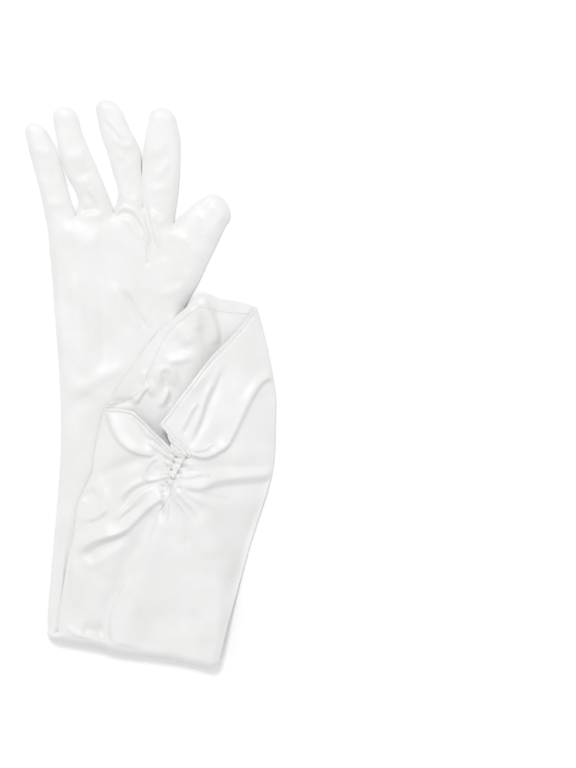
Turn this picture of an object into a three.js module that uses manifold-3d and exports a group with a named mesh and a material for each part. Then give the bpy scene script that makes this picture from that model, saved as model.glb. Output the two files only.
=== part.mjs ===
// A long satin dress glove for the left hand, lying flat with the back of the hand up.
// Its sleeve is folded up over the forearm, and its mouth is ruched. Millimetres, +Y to the
// fingertips, +Z up, resting on z = 0 with the origin under the middle of its box.
import * as THREE from "three";
import { mergeVertices } from "three/addons/utils/BufferGeometryUtils.js";
import Module from "manifold-3d";

// Cloth: one wall stands for the satin with its seam allowances.
const WALL = 1.2;
const SEAM_GAP = 0.3;
const LAYER_GAP = 0.5; // clear space between the forearm and the sleeve that lies on it

// The glove laid flat.
const HAND_WIDTH = 84; // across the four finger roots
const ARM_LENGTH = 285; // from the finger roots to the fold
const ARM_DEPTH = 5.2; // the flattened hand and forearm, both layers
const FOLD_WIDTH = 113; // along the fold
const SLEEVE_LENGTH = 233; // from the fold up to the peak of the mouth
const MOUTH_DEPTH = 12; // the sleeve at its mouth, both layers
const HEM_DEPTH = 12; // cloth turned in at the mouth
const FOURCHETTE_WIDTH = 2.4; // the part of each strip that shows between two fingers
const FOURCHETTE_REACH = 0.82; // how far up it goes, as a share of the finger's length

// Past the forearm's right edge the sleeve drapes down to what the glove lies on.
const DRAPE_START = 3;
const DRAPE_RUN = 16;

// The fold crosses the arm at a slant, lower at the thumb's side.
const FOLD_SLANT = THREE.MathUtils.degToRad(10.1);

// The fold's ends, on the forearm's side and on the sleeve's, as shares of FOLD_WIDTH.
const ARM_FOLD = { left: -0.495, right: 0.5 };
const SLEEVE_FOLD = { left: -0.44, right: 0.507 };

// Edges of the flat hand and forearm, from the finger roots down to the fold. Heights are shares
// of ARM_LENGTH above the fold. Sideways places are shares of the width there, which runs from
// FOLD_WIDTH at the fold to HAND_WIDTH at the finger roots.
const ARM_STATIONS = [
  { leftUp: 1.0, left: -0.677, rightUp: 1.0, right: 0.325 },
  { leftUp: 0.968, left: -0.651, rightUp: 0.968, right: 0.325 },
  { leftUp: 0.888, left: -0.607, rightUp: 0.884, right: 0.343 },
  { leftUp: 0.79, left: -0.562, rightUp: 0.781, right: 0.364 },
  { leftUp: 0.689, left: -0.519, rightUp: 0.671, right: 0.345 },
  { leftUp: 0.575, left: -0.481, rightUp: 0.548, right: 0.353 },
  { leftUp: 0.484, left: -0.464, rightUp: 0.447, right: 0.369 },
  { leftUp: 0.347, left: -0.466, rightUp: 0.297, right: 0.411 },
  { leftUp: 0.221, left: -0.481, rightUp: 0.164, right: 0.451 },
  { leftUp: 0.107, left: -0.49, rightUp: 0.041, right: 0.478 },
];

// Edges of the sleeve, from the fold up to the ends of the hem. Sideways places are shares of
// FOLD_WIDTH, heights are shares of SLEEVE_LENGTH.
const SLEEVE_STATIONS = [
  { left: -0.429, leftUp: 0.067, right: 0.507, rightUp: -0.006 },
  { left: -0.415, leftUp: 0.111, right: 0.55, rightUp: 0.075 },
  { left: -0.394, leftUp: 0.181, right: 0.607, rightUp: 0.175 },
  { left: -0.371, leftUp: 0.242, right: 0.665, rightUp: 0.273 },
  { left: -0.343, leftUp: 0.306, right: 0.728, rightUp: 0.373 },
  { left: -0.322, leftUp: 0.368, right: 0.792, rightUp: 0.471 },
  { left: -0.302, leftUp: 0.429, right: 0.82, rightUp: 0.568 },
  { left: -0.239, leftUp: 0.493, right: 0.823, rightUp: 0.669 },
  { left: -0.216, leftUp: 0.554, right: 0.803, rightUp: 0.766 },
  { left: -0.187, leftUp: 0.618, right: 0.763, rightUp: 0.866 },
  { left: -0.158, leftUp: 0.68, right: 0.711, rightUp: 0.964 },
];

// The hem of the front is pulled down to the gather, and the rear's rises to a peak. Each is a
// point of the hem: across from its left end, and up from the straight line between its ends.
const FRONT_HEM = { across: 0.37, up: -0.15, sharp: 1.0 };
const REAR_HEM = { across: 0.636, up: 0.14, sharp: 1.15 };
const HEM_PULL_POWER = 2.4; // how fast the rows below straighten again

// Folds of the ruched front. Places are [sideways, up] as shares of FOLD_WIDTH and
// SLEEVE_LENGTH, a curve from one end to the other that bows towards the middle one.
// Width and rise are in millimetres, and a negative rise is a valley.
const FOLDS = [
  { name: "flap", from: [0.308, 0.563], by: [0.515, 0.535], to: [0.746, 0.752], width: 9, rise: 4 },
  { name: "flap rib", from: [0.343, 0.596], by: [0.417, 0.674], to: [0.458, 0.716], width: 6, rise: 2.5 },
  { name: "hem lift", from: [0.245, 0.66], by: [0.389, 0.744], to: [0.515, 0.799], width: 9, rise: 2 },
  { name: "flap hollow", from: [0.371, 0.582], by: [0.406, 0.674], to: [0.538, 0.791], width: 5, rise: -1.5 },
  { name: "left loop", from: [-0.141, 0.674], by: [-0.095, 0.568], to: [0.135, 0.549], width: 8, rise: 3 },
  { name: "small loop", from: [0.078, 0.496], by: [0.147, 0.51], to: [0.216, 0.499], width: 5, rise: 2.5 },
  { name: "leaf", from: [0.222, 0.485], by: [0.331, 0.507], to: [0.435, 0.485], width: 6, rise: 2.5 },
  { name: "right ridge", from: [0.273, 0.468], by: [0.515, 0.474], to: [0.792, 0.496], width: 7, rise: 4 },
  { name: "right valley", from: [0.417, 0.448], by: [0.561, 0.462], to: [0.78, 0.471], width: 5, rise: -2 },
  { name: "lower ridge", from: [0.262, 0.454], by: [0.417, 0.423], to: [0.533, 0.368], width: 7, rise: 3 },
  { name: "short valley", from: [0.222, 0.468], by: [0.227, 0.418], to: [0.32, 0.37], width: 4, rise: -2 },
  { name: "long swag", from: [0.181, 0.432], by: [0.014, 0.318], to: [-0.302, 0.284], width: 8, rise: 4 },
  { name: "pocket", from: [-0.014, 0.337], by: [-0.158, 0.329], to: [-0.273, 0.265], width: 5, rise: -2 },
  { name: "shoulder", from: [0.147, 0.471], by: [-0.014, 0.457], to: [-0.089, 0.384], width: 7, rise: 3 },
  { name: "left valley", from: [-0.199, 0.468], by: [-0.043, 0.518], to: [0.112, 0.535], width: 5, rise: -1.5 },
  { name: "long pleat", from: [0.13, 0.409], by: [-0.072, 0.228], to: [-0.13, 0.011], width: 5, rise: -1.5 },
  { name: "pleat ridge", from: [0.112, 0.312], by: [-0.003, 0.173], to: [-0.06, 0.033], width: 6, rise: 2 },
  { name: "right hollow", from: [0.746, 0.396], by: [0.653, 0.256], to: [0.515, 0.075], width: 9, rise: -1 },
  { name: "gather", from: [0.176, 0.624], by: [0.331, 0.535], to: [0.187, 0.423], width: 5, rise: -2 },
];
const FOLD_MARGIN = 0.35; // share of the half depth that a valley never goes below

// How square the section of a flattened tube is at its edges.
const FLAT_FACE = 7; // a face that lies on something
const PUFFED_FACE = 3.2; // a face that is free to rise
const CROWN_GAIN = 1.12; // over 1, so that the middle of a face is flat

// Fingers, from the little one to the first. Root is a share of HAND_WIDTH sideways from the
// middle of the roots, lean is to the left in degrees, bow is sideways in millimetres. Taper is
// the power that the width narrows by: 1 is straight, and more keeps the root's width longer.
const FINGERS = [
  { root: -0.385, length: 60.5, width: 18.4, tipWidth: 14.5, lean: 15.2, bow: 0, taper: 2 },
  { root: -0.11, length: 72, width: 20.4, tipWidth: 16.5, lean: 15.8, bow: -1, taper: 2 },
  { root: 0.143, length: 74.5, width: 18.6, tipWidth: 17.4, lean: 12, bow: 4.6, taper: 2 },
  { root: 0.394, length: 69, width: 22, tipWidth: 17, lean: -1.5, bow: 0.8, taper: 2 },
];
const THUMB = {
  rootAcross: 0.37, // share of HAND_WIDTH to the right of the middle of the roots
  rootUp: 0.842, // share of ARM_LENGTH above the fold
  length: 68,
  width: 46,
  tipWidth: 19.5,
  lean: -38.5,
  taper: 1,
};
const TIP_FLAT = 0.4; // from the last ring of a finger to its very tip
const TIP_DEPTH = 0.3; // the least depth of a fingertip, as a share of the finger's

// Mesh steps.
const FRONT_COLUMNS = 20; // over the palm panel's side, twice as many as over the back panel's
const BACK_COLUMNS = FRONT_COLUMNS / 2;
const BEND_STEPS = 5;
const SLEEVE_STEPS = 25;
const HEM_END_COLUMNS = 10; // the hem strips stop one of this many columns from each side
const FINGER_SIDES = 12;
const FINGER_STEPS = 8;
const FOLD_CURVE_STEPS = 14;
const SEAM_COLUMNS = 18;
const SEAM_PAST_MOUTH = 2; // steps that the seam's sheet runs on past the mouth
const HAND_STATIONS = 4; // stations of the hand, which the thumb stands out from
const HAND_HOLLOW_ROWS = [0.02, 0.08, 0.2]; // shares of the way from the finger roots to the fold
const FOURCHETTE_ROWS = [-0.06, 0.2, 0.4, 0.6]; // shares of a finger's length
const THUMB_ROWS = [0, 0.35, 0.65, 0.85, 1]; // shares of the thumb's length

// Heights that follow from the sizes above.
const ARM_MIDDLE = ARM_DEPTH / 2;
const SLEEVE_FLOOR = ARM_DEPTH + LAYER_GAP;
const BEND_RADIUS = (ARM_DEPTH + LAYER_GAP) / 2;
const BEND_REACH = BEND_RADIUS + ARM_MIDDLE; // from the bend's axis to its outside
const SLEEVE_RISE = 0.79; // mean height of the sleeve's two edges, as a share of SLEEVE_LENGTH
const ROOT_LAP = 2 * WALL; // how far a finger's outside runs into the hand
const ROOT_OPENING = 6 * WALL; // how far its hollow runs into the hand's
const QUARTER_TURN = Math.PI / 2;

const wasm = await Module();
wasm.setup();

const mix = (a, b, t) => a + (b - a) * t;
const mixPoints = (a, b, t) => [mix(a[0], b[0], t), mix(a[1], b[1], t)];

// A value of a table of rows at t from 0 to 1, straight between rows and on past both ends.
function tableValue(rows, key, t) {
  const place = t * (rows.length - 1);
  const row = THREE.MathUtils.clamp(Math.floor(place), 0, rows.length - 2);
  return mix(rows[row][key], rows[row + 1][key], place - row);
}

// Turns a list of rings, each with the same number of points, into a closed mesh. Ring points
// run round the section: the first half over one face and back over the other.
function loftRings(rings, splitAt) {
  const sides = rings[0].length;
  const triangles = [];
  for (let ring = 0; ring < rings.length - 1; ring++) {
    for (let side = 0; side < sides; side++) {
      const next = (side + 1) % sides;
      const [a, b] = [ring * sides + side, ring * sides + next];
      triangles.push([a, b, b + sides], [a, b + sides, a + sides]);
    }
  }
  const last = (rings.length - 1) * sides;
  for (const [x, y, z] of capTriangles(sides, splitAt)) {
    triangles.push([x, z, y], [last + x, last + y, last + z]);
  }
  return closedMesh(rings.flat(), triangles);
}

// Closes a ring by joining its two faces across: points 0 to splitAt face points sides to
// splitAt. The two faces may have different numbers of points.
function capTriangles(sides, splitAt) {
  const triangles = [];
  let near = 0;
  let far = sides;
  while (near < splitAt || far > splitAt) {
    const nearShare = (near + 1) / splitAt;
    const farShare = (sides - far + 1) / (sides - splitAt);
    if (far <= splitAt || (near < splitAt && nearShare <= farShare)) {
      triangles.push([near, near + 1, far % sides]);
      near += 1;
    } else {
      triangles.push([near, far - 1, far % sides]);
      far -= 1;
    }
  }
  return triangles.filter(([a, b, c]) => a !== b && b !== c && a !== c);
}

// A thin solid between two grids of points that lie close together, with the same faces on both.
function sheetSolid(near, far) {
  const columns = near[0].length;
  const count = near.length * columns;
  const triangles = [];
  const addFace = (a, b, c, d) => triangles.push([a, b, c], [a, c, d]);
  for (let row = 0; row < near.length - 1; row++) {
    for (let column = 0; column < columns - 1; column++) {
      const [a, d] = [row * columns + column, (row + 1) * columns + column];
      addFace(a, a + 1, d + 1, d);
      addFace(count + a, count + d, count + d + 1, count + a + 1);
    }
    const [start, end] = [row * columns, (row + 1) * columns - 1];
    addFace(start, start + columns, count + start + columns, count + start);
    addFace(end + columns, end, count + end, count + end + columns);
  }
  for (let column = 0; column < columns - 1; column++) {
    const last = count - columns + column;
    addFace(column + 1, column, count + column, count + column + 1);
    addFace(last, last + 1, count + last + 1, count + last);
  }
  return toSolid(closedMesh([...near.flat(), ...far.flat()], triangles));
}

function closedMesh(points, triangles) {
  const geometry = new THREE.BufferGeometry();
  geometry.setAttribute("position", new THREE.Float32BufferAttribute(points.flat(), 3));
  geometry.setIndex(triangles.flat());
  return mergeVertices(geometry, 1e-4);
}

// A closed mesh as a solid, turned the right way out.
function toSolid(geometry) {
  const vertProperties = Float32Array.from(geometry.attributes.position.array);
  const triVerts = Uint32Array.from(geometry.index.array);
  if (signedVolume(vertProperties, triVerts) < 0) {
    for (let i = 0; i < triVerts.length; i += 3) {
      [triVerts[i + 1], triVerts[i + 2]] = [triVerts[i + 2], triVerts[i + 1]];
    }
  }
  return new wasm.Manifold(new wasm.Mesh({ numProp: 3, vertProperties, triVerts }));
}

function signedVolume(points, triangles) {
  const [a, b, c] = [new THREE.Vector3(), new THREE.Vector3(), new THREE.Vector3()];
  let sum = 0;
  for (let i = 0; i < triangles.length; i += 3) {
    a.fromArray(points, triangles[i] * 3);
    b.fromArray(points, triangles[i + 1] * 3);
    c.fromArray(points, triangles[i + 2] * 3);
    sum += a.dot(b.cross(c));
  }
  return sum / 6;
}

function toGeometry(solid) {
  const mesh = solid.getMesh();
  const geometry = new THREE.BufferGeometry();
  geometry.setAttribute("position", new THREE.Float32BufferAttribute(mesh.vertProperties, 3));
  geometry.setIndex(Array.from(mesh.triVerts));
  return geometry;
}

// Where the columns of a face stand across it, closer together at the edges.
function columnShare(column, columns) {
  const even = column / columns;
  return (even + (1 - Math.cos(Math.PI * even)) / 2) / 2;
}

// Half depth of a flattened tube at a share across it: full over the middle, round at the edges.
function crown(across, fullness) {
  const edge = 1 - Math.abs(2 * across - 1) ** fullness;
  return Math.min(1, CROWN_GAIN * Math.sqrt(Math.max(edge, 0)));
}

// The two ends of a row of the hand and forearm, at t from 0 at the finger roots to 1.
function armRow(t) {
  return ["left", "right"].map((side) => {
    const up = tableValue(ARM_STATIONS, `${side}Up`, t);
    const width = mix(FOLD_WIDTH, HAND_WIDTH, up);
    return [tableValue(ARM_STATIONS, side, t) * width, up * ARM_LENGTH];
  });
}

// The two ends of a row of the sleeve, at t from 0 at the fold to 1 at the hem.
function sleeveRow(t) {
  return ["left", "right"].map((side) => [
    tableValue(SLEEVE_STATIONS, side, t) * FOLD_WIDTH,
    tableValue(SLEEVE_STATIONS, `${side}Up`, t) * SLEEVE_LENGTH,
  ]);
}

// How far a hem's shape pulls a point of a row up or down.
function hemPull(hem, across, t) {
  const side = across < hem.across ? across / hem.across : (1 - across) / (1 - hem.across);
  const pull = Math.max(side, 0) ** hem.sharp;
  return hem.up * SLEEVE_LENGTH * pull * Math.max(t, 0) ** HEM_PULL_POWER;
}

// Height that the folds add at a point of the ruched front.
const FOLD_CURVES = FOLDS.map((fold) => {
  const [from, by, to] = [fold.from, fold.by, fold.to].map(
    ([x, y]) => new THREE.Vector2(x * FOLD_WIDTH, y * SLEEVE_LENGTH),
  );
  return { ...fold, points: new THREE.QuadraticBezierCurve(from, by, to).getPoints(FOLD_CURVE_STEPS) };
});

function foldRise(x, y) {
  const here = new THREE.Vector2(x, y);
  let rise = 0;
  for (const fold of FOLD_CURVES) {
    const distance = Math.min(...fold.points.map((point) => point.distanceTo(here)));
    rise += fold.rise * Math.exp(-((distance / fold.width) ** 2));
  }
  return rise;
}

// A row's end moved out along the row by grow.
function grownEnds([left, right], grow) {
  const along = new THREE.Vector2(right[0] - left[0], right[1] - left[1]).setLength(grow);
  return [
    [left[0] - along.x, left[1] - along.y],
    [right[0] + along.x, right[1] + along.y],
  ];
}

// Rings run over the palm panel's face from left to right, and back over the other face.
function ringColumns() {
  const shares = [];
  for (let i = 0; i <= FRONT_COLUMNS; i++) {
    shares.push({ face: "palm", across: columnShare(i, FRONT_COLUMNS) });
  }
  for (let i = BACK_COLUMNS - 1; i > 0; i--) {
    shares.push({ face: "back", across: columnShare(i, BACK_COLUMNS) });
  }
  return shares;
}

function armRing(t, grow) {
  const [left, right] = grownEnds(armRow(t), grow);
  const half = ARM_MIDDLE + grow;
  return ringColumns().map(({ face, across }) => {
    const [x, y] = mixPoints(left, right, across);
    const reach = half * crown(across, FLAT_FACE);
    return [x, y, ARM_MIDDLE + (face === "palm" ? -reach : reach)];
  });
}

// The bend turns about an axis that lies along the fold, halfway up the stack of layers. This is
// a point of it: place along the fold, and reach from the middle of the cloth's two layers.
function bendPoint(turn, place, reach) {
  const along = [Math.cos(FOLD_SLANT), -Math.sin(FOLD_SLANT)];
  const down = [-Math.sin(FOLD_SLANT), -Math.cos(FOLD_SLANT)];
  const radius = BEND_RADIUS + reach;
  const out = radius * Math.sin(turn) - BEND_REACH;
  return [
    along[0] * place + down[0] * out,
    along[1] * place + down[1] * out,
    ARM_MIDDLE + BEND_RADIUS - radius * Math.cos(turn),
  ];
}

function bendRing(share, grow) {
  const left = mix(ARM_FOLD.left, SLEEVE_FOLD.left, share) * FOLD_WIDTH - grow;
  const right = mix(ARM_FOLD.right, SLEEVE_FOLD.right, share) * FOLD_WIDTH + grow;
  return ringColumns().map(({ face, across }) => {
    const reach = (ARM_MIDDLE + grow) * crown(across, FLAT_FACE);
    return bendPoint(share * Math.PI, mix(left, right, across), face === "palm" ? reach : -reach);
  });
}

// How far the sleeve sinks at a point of the plan, past the right edge of the forearm under it.
function drape(x, y) {
  const stations = ARM_STATIONS.map((_, i) => armRow(i / (ARM_STATIONS.length - 1))[1]);
  const next = stations.findIndex((station) => station[1] <= y);
  let edge = stations.at(next)[0];
  if (next > 0) {
    const [above, below] = [stations[next - 1], stations[next]];
    edge = mix(below[0], above[0], (y - below[1]) / (above[1] - below[1]));
  }
  return SLEEVE_FLOOR * THREE.MathUtils.smoothstep(x, edge + DRAPE_START, edge + DRAPE_START + DRAPE_RUN);
}

// Half depth of the sleeve: the arm's at the fold, growing to the mouth's.
const sleeveHalf = (t) => mix(ARM_MIDDLE, MOUTH_DEPTH / 2, Math.sin(Math.min(t, 1) * QUARTER_TURN) ** 2);

// A point of the sleeve's front or rear, at a share across and t up it.
function sleevePoint(face, across, t, ends, grow) {
  const base = sleeveHalf(t);
  const [x, straightY] = mixPoints(ends[0], ends[1], across);
  const y = straightY + hemPull(face === "back" ? REAR_HEM : FRONT_HEM, across, t);
  const middle = SLEEVE_FLOOR + base - drape(x, y);
  if (face === "back") {
    return [x, y, middle - (base + grow) * crown(across, FLAT_FACE)];
  }
  const rise = Math.max(foldRise(x, y), -FOLD_MARGIN * base);
  return [x, y, middle + (base + grow + rise) * crown(across, PUFFED_FACE)];
}

function sleeveRing(t, grow) {
  const ends = grownEnds(sleeveRow(t), grow);
  return ringColumns().map(({ face, across }) => sleevePoint(face, across, t, ends, grow));
}

// The rings of the whole flattened tube, from the finger roots round the fold to the mouth.
function tubeRings(grow) {
  const armSteps = ARM_STATIONS.length - 1;
  const start = (-grow / ARM_LENGTH) * armSteps; // the inside stops short of the finger roots
  const rings = [armRing(start, grow)];
  for (let i = 1; i <= armSteps; i++) {
    rings.push(armRing(i / armSteps, grow));
  }
  for (let i = 0; i <= BEND_STEPS; i++) {
    rings.push(bendRing(i / BEND_STEPS, grow));
  }
  for (let i = 1; i <= SLEEVE_STEPS; i++) {
    rings.push(sleeveRing(i / SLEEVE_STEPS, grow));
  }
  return rings;
}

// The outside of the tube, over the hem and back along the inside: a bag with a turned fold.
function bagSolid() {
  const rings = [...tubeRings(0), ...tubeRings(-WALL).reverse()];
  return toSolid(loftRings(rings, FRONT_COLUMNS));
}

// The clear inside of the hand near the finger roots.
function handHollow() {
  const rings = HAND_HOLLOW_ROWS.map((t) => armRing(t, -WALL));
  return toSolid(loftRings(rings, FRONT_COLUMNS));
}

// Rounds a finger's end: full until the last stretch, then a quarter circle.
function tipRound(distanceFromTip, radius) {
  if (distanceFromTip >= radius) {
    return 1;
  }
  const left = 1 - Math.max(distanceFromTip, 0) / radius;
  return Math.sqrt(Math.max(1 - left * left, 0));
}

// A flattened, closed finger from its root to its tip. Root and direction are in the plan.
function fingerSolid(finger, grow, rootOverlap) {
  const lean = THREE.MathUtils.degToRad(finger.lean);
  const along = [-Math.sin(lean), Math.cos(lean)];
  const side = [Math.cos(lean), Math.sin(lean)];
  const tip = finger.length + grow;
  const tipRadius = finger.tipWidth / 2;
  const rings = [];
  for (let i = 0; i <= FINGER_STEPS; i++) {
    const place = Math.sin((i / FINGER_STEPS) * QUARTER_TURN);
    const distance = mix(-rootOverlap, tip - TIP_FLAT, place);
    const share = distance / finger.length;
    const round = tipRound(tip - distance, tipRadius);
    const width = mix(finger.width, finger.tipWidth, Math.max(share, 0) ** finger.taper);
    const half = (width / 2 + grow) * round;
    const depth = (ARM_MIDDLE + grow) * Math.max(Math.sqrt(round), TIP_DEPTH);
    const bow = finger.bow * 4 * share * (1 - share);
    rings.push(
      fingerRing(half, depth).map(([across, z]) => [
        finger.x + along[0] * distance + side[0] * (bow + across),
        finger.y + along[1] * distance + side[1] * (bow + across),
        ARM_MIDDLE + z,
      ]),
    );
  }
  return toSolid(loftRings(rings, FINGER_SIDES / 2));
}

// A flattened ring round a finger: flat above and below, round at its sides.
function fingerRing(half, depth) {
  const ring = [];
  for (let i = 0; i < FINGER_SIDES; i++) {
    const turn = Math.PI - (i / FINGER_SIDES) * Math.PI * 2;
    const [x, z] = [Math.cos(turn), Math.sin(turn)];
    const rise = Math.min(1, CROWN_GAIN * Math.sqrt(Math.abs(z)));
    ring.push([half * x, -depth * Math.sign(z) * rise]);
  }
  return ring;
}

const [handLeft, handRight] = armRow(0);
const handMiddle = mixPoints(handLeft, handRight, 0.5);
const fingers = FINGERS.map((finger) => ({
  ...finger,
  x: handMiddle[0] + finger.root * HAND_WIDTH,
  y: handMiddle[1],
}));

// A flat prism with a polygon as its plan.
function prism(polygon, low, high) {
  const shape = new THREE.Shape(polygon.map(([x, y]) => new THREE.Vector2(x, y)));
  const geometry = new THREE.ExtrudeGeometry(shape, { depth: high - low, bevelEnabled: false });
  geometry.deleteAttribute("normal");
  geometry.deleteAttribute("uv");
  geometry.translate(0, 0, low);
  return toSolid(mergeVertices(geometry, 1e-4));
}

// A point on a finger's middle line, at a share of its length.
function fingerMiddle(finger, share) {
  const lean = THREE.MathUtils.degToRad(finger.lean);
  const bow = finger.bow * 4 * share * (1 - share);
  const length = finger.length * share;
  return [
    finger.x - Math.sin(lean) * length + Math.cos(lean) * bow,
    finger.y + Math.cos(lean) * length + Math.sin(lean) * bow,
  ];
}

// The space between two fingers that a fourchette's strip is cut from.
function fourchetteSpace(first, second, clearance) {
  const up = FOURCHETTE_ROWS.map((share) => fingerMiddle(first, share));
  const down = FOURCHETTE_ROWS.map((share) => fingerMiddle(second, share)).reverse();
  const ends = [first, second].map((finger) =>
    fingerMiddle(finger, FOURCHETTE_REACH + clearance / finger.length),
  );
  const half = FOURCHETTE_WIDTH / 2 + clearance;
  return prism([...up, ...ends, ...down], ARM_MIDDLE - half, ARM_MIDDLE + half);
}

// The thumb is a wide, closed finger, and its root is open into the hand.
const thumbShape = {
  ...THUMB,
  bow: 0,
  x: handMiddle[0] + THUMB.rootAcross * HAND_WIDTH,
  y: THUMB.rootUp * ARM_LENGTH,
};

function thumbSolid() {
  const outside = fingerSolid(thumbShape, 0, 0);
  return outside.subtract(fingerSolid(thumbShape, -WALL, ROOT_LAP));
}

// The opening in the side of the hand that the thumb is set in.
function thumbOpening() {
  const lean = THREE.MathUtils.degToRad(THUMB.lean);
  const place = (across, along) => [
    thumbShape.x + Math.cos(lean) * across - Math.sin(lean) * along,
    thumbShape.y + Math.sin(lean) * across + Math.cos(lean) * along,
  ];
  const root = THUMB.width / 2 + SEAM_GAP;
  const tip = THUMB.tipWidth / 2 + SEAM_GAP;
  const halfAt = (share) => mix(root, tip, share ** THUMB.taper);
  const right = THUMB_ROWS.map((share) => place(halfAt(share), share * THUMB.length - SEAM_GAP));
  const left = THUMB_ROWS.map((share) => place(-halfAt(share), share * THUMB.length - SEAM_GAP));
  return prism([...right, ...left.reverse()], -WALL, ARM_DEPTH + LAYER_GAP / 2);
}

// A thin sheet through the middle of the flattened tube. Cutting with it parts the palm panel
// from the back panel along both side seams. It runs past the fingertips, the sides and the mouth.
function seamSheet() {
  const half = SEAM_GAP / 2;
  const pastTips = 2 * FINGERS[2].length;
  const pastSides = MOUTH_DEPTH;
  const armSteps = ARM_STATIONS.length - 1;
  const [rootLeft, rootRight] = armRow(0);
  const first = [
    [rootLeft[0] - pastTips, rootLeft[1] + pastTips],
    [rootRight[0] + pastTips, rootRight[1] + pastTips],
  ];
  const rows = [seamRow(first, () => ARM_MIDDLE, half)];
  for (let i = 0; i <= armSteps; i++) {
    const ends = grownEnds(armRow(i / armSteps), i < HAND_STATIONS ? pastTips : pastSides);
    rows.push(seamRow(ends, () => ARM_MIDDLE, half));
  }
  for (let i = 0; i <= 2 * BEND_STEPS; i++) {
    rows.push(bendSeamRow((i / (2 * BEND_STEPS)) * Math.PI, half));
  }
  for (let i = 1; i <= SLEEVE_STEPS + SEAM_PAST_MOUTH; i++) {
    const t = i / SLEEVE_STEPS;
    const middle = (x, y) => SLEEVE_FLOOR + sleeveHalf(t) - drape(x, y);
    rows.push(seamRow(grownEnds(sleeveRow(t), pastSides), middle, -half));
  }
  return sheetSolid(
    rows.map(([palmSide]) => palmSide),
    rows.map(([, backSide]) => backSide),
  );
}

// A row of the seam's sheet, on its palm side and on its back side.
function seamRow([left, right], middle, half) {
  return [-half, half].map((offset) =>
    seamShares().map((share) => {
      const [x, y] = mixPoints(left, right, share);
      return [x, y, middle(x, y) + offset];
    }),
  );
}

function bendSeamRow(turn, half) {
  const reach = FOLD_WIDTH / 2 + MOUTH_DEPTH;
  return [half, -half].map((offset) =>
    seamShares().map((share) => bendPoint(turn, mix(-reach, reach, share), offset)),
  );
}

function seamShares() {
  return Array.from({ length: SEAM_COLUMNS + 1 }, (_, i) => columnShare(i, SEAM_COLUMNS));
}

// Cloth turned in at the mouth: a strip that follows the inside of one face of the sleeve.
function hemSolid(face) {
  const columns = face === "palm" ? FRONT_COLUMNS : BACK_COLUMNS;
  const skip = columns / HEM_END_COLUMNS;
  const rowHeight = (SLEEVE_LENGTH * SLEEVE_RISE) / SLEEVE_STEPS;
  const steps = Math.max(1, Math.round(HEM_DEPTH / rowHeight));
  const rings = [];
  for (let i = 0; i <= steps; i++) {
    const t = 1 - i / SLEEVE_STEPS;
    const ends = grownEnds(sleeveRow(t), -WALL);
    const [near, far] = [-WALL - SEAM_GAP, -2 * WALL - SEAM_GAP].map((grow) => {
      const row = [];
      for (let j = skip; j <= columns - skip; j++) {
        row.push(sleevePoint(face, columnShare(j, columns), t, ends, grow));
      }
      return row;
    });
    rings.push([...near, ...far.reverse()]);
  }
  return toSolid(loftRings(rings, columns - 2 * skip));
}

// The glove's cloth, before it is parted into its pieces.
let shell = bagSolid();
for (const finger of fingers) {
  shell = shell.add(fingerSolid(finger, 0, ROOT_LAP));
}
for (const finger of fingers) {
  shell = shell.subtract(fingerSolid(finger, -WALL, ROOT_OPENING));
}
shell = shell.subtract(handHollow()).subtract(thumbOpening());

const pieces = new Map();
const pairs = [
  ["little_ring_fourchette", fingers[0], fingers[1]],
  ["ring_middle_fourchette", fingers[1], fingers[2]],
  ["middle_first_fourchette", fingers[2], fingers[3]],
];
for (const [name, first, second] of pairs) {
  pieces.set(name, shell.intersect(fourchetteSpace(first, second, 0)));
}
for (const [, first, second] of pairs) {
  shell = shell.subtract(fourchetteSpace(first, second, SEAM_GAP));
}
// The two panels are the largest parts, and the palm panel is the one that rises to the ruched front.
const panels = shell
  .subtract(seamSheet())
  .decompose()
  .sort((a, b) => b.volume() - a.volume())
  .slice(0, 2)
  .sort((a, b) => b.boundingBox().max[2] - a.boundingBox().max[2]);
pieces.set("palm_panel", panels[0]);
pieces.set("back_panel", panels[1]);
pieces.set("thumb", thumbSolid());
pieces.set("front_hem", hemSolid("palm"));
pieces.set("rear_hem", hemSolid("back"));

const satin = { color: 0xf1f1ef, roughness: 0.42, metalness: 0 };
const glove = new THREE.Group();
for (const [name, solid] of pieces) {
  const material = new THREE.MeshStandardMaterial({ ...satin, name: "satin" });
  const mesh = new THREE.Mesh(toGeometry(solid), material);
  mesh.name = name;
  glove.add(mesh);
}

// The origin goes under the middle of the glove's box.
const box = new THREE.Box3().setFromObject(glove);
const middle = box.getCenter(new THREE.Vector3());
glove.position.set(-middle.x, -middle.y, -box.min.z);

export default glove;
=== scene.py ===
import math
import bpy
import numpy as np
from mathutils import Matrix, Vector


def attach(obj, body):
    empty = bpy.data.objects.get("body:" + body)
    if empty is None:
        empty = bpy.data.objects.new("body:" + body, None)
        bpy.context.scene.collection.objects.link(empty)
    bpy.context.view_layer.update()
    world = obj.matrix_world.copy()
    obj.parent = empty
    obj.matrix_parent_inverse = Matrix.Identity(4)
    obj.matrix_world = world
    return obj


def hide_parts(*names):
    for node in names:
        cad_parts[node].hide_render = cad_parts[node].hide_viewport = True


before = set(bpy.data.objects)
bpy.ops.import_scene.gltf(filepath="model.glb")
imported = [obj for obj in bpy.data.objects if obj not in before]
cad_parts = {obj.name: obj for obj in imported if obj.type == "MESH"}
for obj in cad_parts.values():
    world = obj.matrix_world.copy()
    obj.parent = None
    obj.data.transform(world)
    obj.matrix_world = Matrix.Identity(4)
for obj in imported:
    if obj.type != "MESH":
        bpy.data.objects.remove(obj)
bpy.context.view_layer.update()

# Table, light and view
# The glove lies flat on a plain white table under a broad soft light, and is seen from straight
# above, a little to the left of the middle of the view.
PIXEL = 0.00065  # metres of the table to a pixel of the photo
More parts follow.
